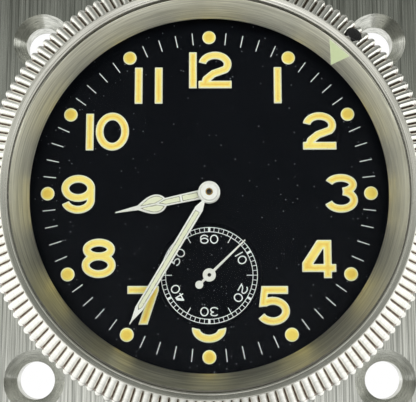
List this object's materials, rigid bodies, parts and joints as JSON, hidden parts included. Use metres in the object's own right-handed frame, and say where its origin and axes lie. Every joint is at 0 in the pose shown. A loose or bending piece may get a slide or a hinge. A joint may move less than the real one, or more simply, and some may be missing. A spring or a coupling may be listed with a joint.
{
  "type": "dashboard clock",
  "caption": "Square-plate dashboard clock with a coin-edge turning bezel, a black dial with small seconds at 6, and a winding crown.",
  "frame": {"origin": "centre of the mounting plate's back face", "axes": "+Y out of the plate's back into the dashboard, so the clock faces -Y; +Z to 12 o'clock; +X to 3 o'clock and the crown"},
  "size_m": [0.06, 0.0194, 0.06],
  "materials": {
    "plate_steel": "brushed in one direction",
    "case_steel": "turned satin",
    "bezel_steel": "polished flutes, satin rim",
    "ring_steel": "brushed round the axis",
    "screw_steel": "satin",
    "spring_steel": "bright spring temper",
    "movement_steel": "polished",
    "gasket_rubber": "matt",
    "pip_black": "matt fill",
    "triangle_lume": "matt luminous paint",
    "crystal_glass": "polished mineral glass",
    "dial_black": "matt black lacquer",
    "dial_lume": "matt luminous paint",
    "hand_white": "satin white paint",
    "hand_lume": "matt luminous paint",
    "ring_alloy": "satin",
    "movement_gilt": "frosted gilt",
    "wheel_brass": "polished",
    "ruby": "polished synthetic ruby"
  },
  "bodies": {
    "head": {"mounting_plate": "plate_steel", "case_body": "case_steel", "case_back": "case_steel", "case_back_gasket": "gasket_rubber", "case_screws": "screw_steel", "bezel_spring_ring": "spring_steel", "dial": "dial_black", "hour_numerals": "dial_lume", "hour_dots": "dial_lume", "crown_tube": "case_steel", "click_spring": "spring_steel", "movement_ring": "ring_alloy", "casing_clamps": "movement_steel", "clamp_screws": "screw_steel", "main_plate": "movement_gilt", "barrel_bridge": "movement_gilt", "train_bridge": "movement_gilt", "balance_cock": "movement_gilt", "pallet_bridge": "movement_gilt", "bridge_screws": "screw_steel", "jewels": "ruby", "hairspring": "spring_steel"},
    "bezel_group": {"bezel": "bezel_steel", "bezel_inner_ring": "ring_steel", "ring_triangle": "triangle_lume", "index_pip": "pip_black", "crystal": "crystal_glass", "crystal_gasket": "gasket_rubber"},
    "minute_group": {"cannon_pinion": "movement_steel", "minute_hand": "hand_white", "minute_hand_lume": "hand_lume"},
    "minute_wheel_group": {"minute_wheel": "wheel_brass"},
    "hour_group": {"hour_wheel": "wheel_brass", "hour_hand": "hand_white", "hour_hand_lume": "hand_lume"},
    "setting_group": {"setting_wheel": "movement_steel"},
    "seconds_group": {"fourth_wheel": "wheel_brass", "seconds_hand": "hand_white"},
    "third_group": {"third_wheel": "wheel_brass"},
    "centre_group": {"centre_wheel": "wheel_brass"},
    "barrel_group": {"barrel_drum": "wheel_brass", "barrel_cover": "wheel_brass", "mainspring": "spring_steel"},
    "escape_group": {"escape_wheel": "movement_steel"},
    "pallet_group": {"pallet_fork": "movement_steel", "pallet_stones": "ruby"},
    "balance_group": {"balance_wheel": "wheel_brass"},
    "winding_group": {"winding_pinion": "movement_steel"},
    "crown_group": {"crown": "case_steel", "winding_stem": "movement_steel"},
    "sliding_group": {"sliding_pinion": "movement_steel"},
    "crown_wheel_group": {"crown_wheel": "movement_steel"},
    "ratchet_group": {"ratchet_wheel": "movement_steel", "barrel_arbor": "movement_steel"},
    "click_group": {"click": "movement_steel"}
  },
  "joints": [
    {"name": "bezel_turn", "type": "hinge", "parent": "head", "child": "bezel_group", "pos_m": [0, -0.0155, 0], "axis": [0, 1, 0], "continuous": true},
    {"name": "minute_turn", "type": "hinge", "parent": "head", "child": "minute_group", "pos_m": [0, -0.0135, 0], "axis": [0, 1, 0], "continuous": true},
    {"name": "minute_wheel_turn", "type": "hinge", "parent": "head", "child": "minute_wheel_group", "pos_m": [0.003, -0.0121, 0], "axis": [0, 1, 0], "continuous": true},
    {"name": "hour_turn", "type": "hinge", "parent": "head", "child": "hour_group", "pos_m": [0, -0.0135, 0], "axis": [0, 1, 0], "continuous": true},
    {"name": "setting_wheel_turn", "type": "hinge", "parent": "head", "child": "setting_group", "pos_m": [0.00725, -0.0121, 0], "axis": [0, 1, 0], "continuous": true},
    {"name": "seconds_turn", "type": "hinge", "parent": "head", "child": "seconds_group", "pos_m": [0, -0.0135, -0.00925], "axis": [0, 1, 0], "continuous": true},
    {"name": "third_turn", "type": "hinge", "parent": "head", "child": "third_group", "pos_m": [-0.00463, -0.0105, -0.00551], "axis": [0, 1, 0], "continuous": true},
    {"name": "centre_turn", "type": "hinge", "parent": "head", "child": "centre_group", "pos_m": [0, -0.0105, 0], "axis": [0, 1, 0], "continuous": true},
    {"name": "barrel_turn", "type": "hinge", "parent": "head", "child": "barrel_group", "pos_m": [0.00318, -0.0105, 0.00875], "axis": [0, 1, 0], "continuous": true},
    {"name": "escape_turn", "type": "hinge", "parent": "head", "child": "escape_group", "pos_m": [0.00373, -0.0105, -0.01298], "axis": [0, 1, 0], "continuous": true},
    {"name": "pallet_swing", "type": "hinge", "parent": "head", "child": "pallet_group", "pos_m": [0.00633, -0.0105, -0.01129], "axis": [0, 1, 0], "range_deg": [-5, 5]},
    {"name": "balance_swing", "type": "hinge", "parent": "head", "child": "balance_group", "pos_m": [0.00933, -0.0095, -0.00933], "axis": [0, 1, 0], "range_deg": [-270, 270], "stiffness_Nm_per_rad": 0.0000003},
    {"name": "crown_turn", "type": "hinge", "parent": "head", "child": "winding_group", "pos_m": [0.014, -0.0109, 0], "axis": [1, 0, 0], "continuous": true},
    {"name": "crown_pull", "type": "slide", "parent": "winding_group", "child": "crown_group", "axis": [1, 0, 0], "range_m": [0, 0.001]},
    {"name": "sliding_pinion_shift", "type": "slide", "parent": "winding_group", "child": "sliding_group", "axis": [1, 0, 0], "range_m": [-0.0008, 0]},
    {"name": "crown_wheel_turn", "type": "hinge", "parent": "head", "child": "crown_wheel_group", "pos_m": [0.01095, -0.0087, 0], "axis": [0, 1, 0], "continuous": true},
    {"name": "ratchet_turn", "type": "hinge", "parent": "head", "child": "ratchet_group", "pos_m": [0.00318, -0.0087, 0.00875], "axis": [0, 1, 0], "continuous": true},
    {"name": "click_lift", "type": "hinge", "parent": "head", "child": "click_group", "pos_m": [-0.00534, -0.0087, 0.01328], "axis": [0, 1, 0], "range_deg": [0, 8], "stiffness_Nm_per_rad": 0.00001, "springref_deg": -5.73}
  ],
  "couplings": [
    {"joint": "minute_wheel_turn", "follows": "minute_turn", "ratio": -0.33333},
    {"joint": "hour_turn", "follows": "minute_turn", "ratio": 0.083333},
    {"joint": "setting_wheel_turn", "follows": "minute_turn", "ratio": 0.375},
    {"joint": "third_turn", "follows": "seconds_turn", "ratio": -0.13333},
    {"joint": "centre_turn", "follows": "seconds_turn", "ratio": 0.016667},
    {"joint": "barrel_turn", "follows": "seconds_turn", "ratio": -0.0027778},
    {"joint": "escape_turn", "follows": "seconds_turn", "ratio": -10},
    {"joint": "sliding_pinion_shift", "follows": "crown_pull", "ratio": -0.8},
    {"joint": "crown_wheel_turn", "follows": "crown_turn", "ratio": -0.5},
    {"joint": "ratchet_turn", "follows": "crown_turn", "ratio": 0.22222}
  ]
}
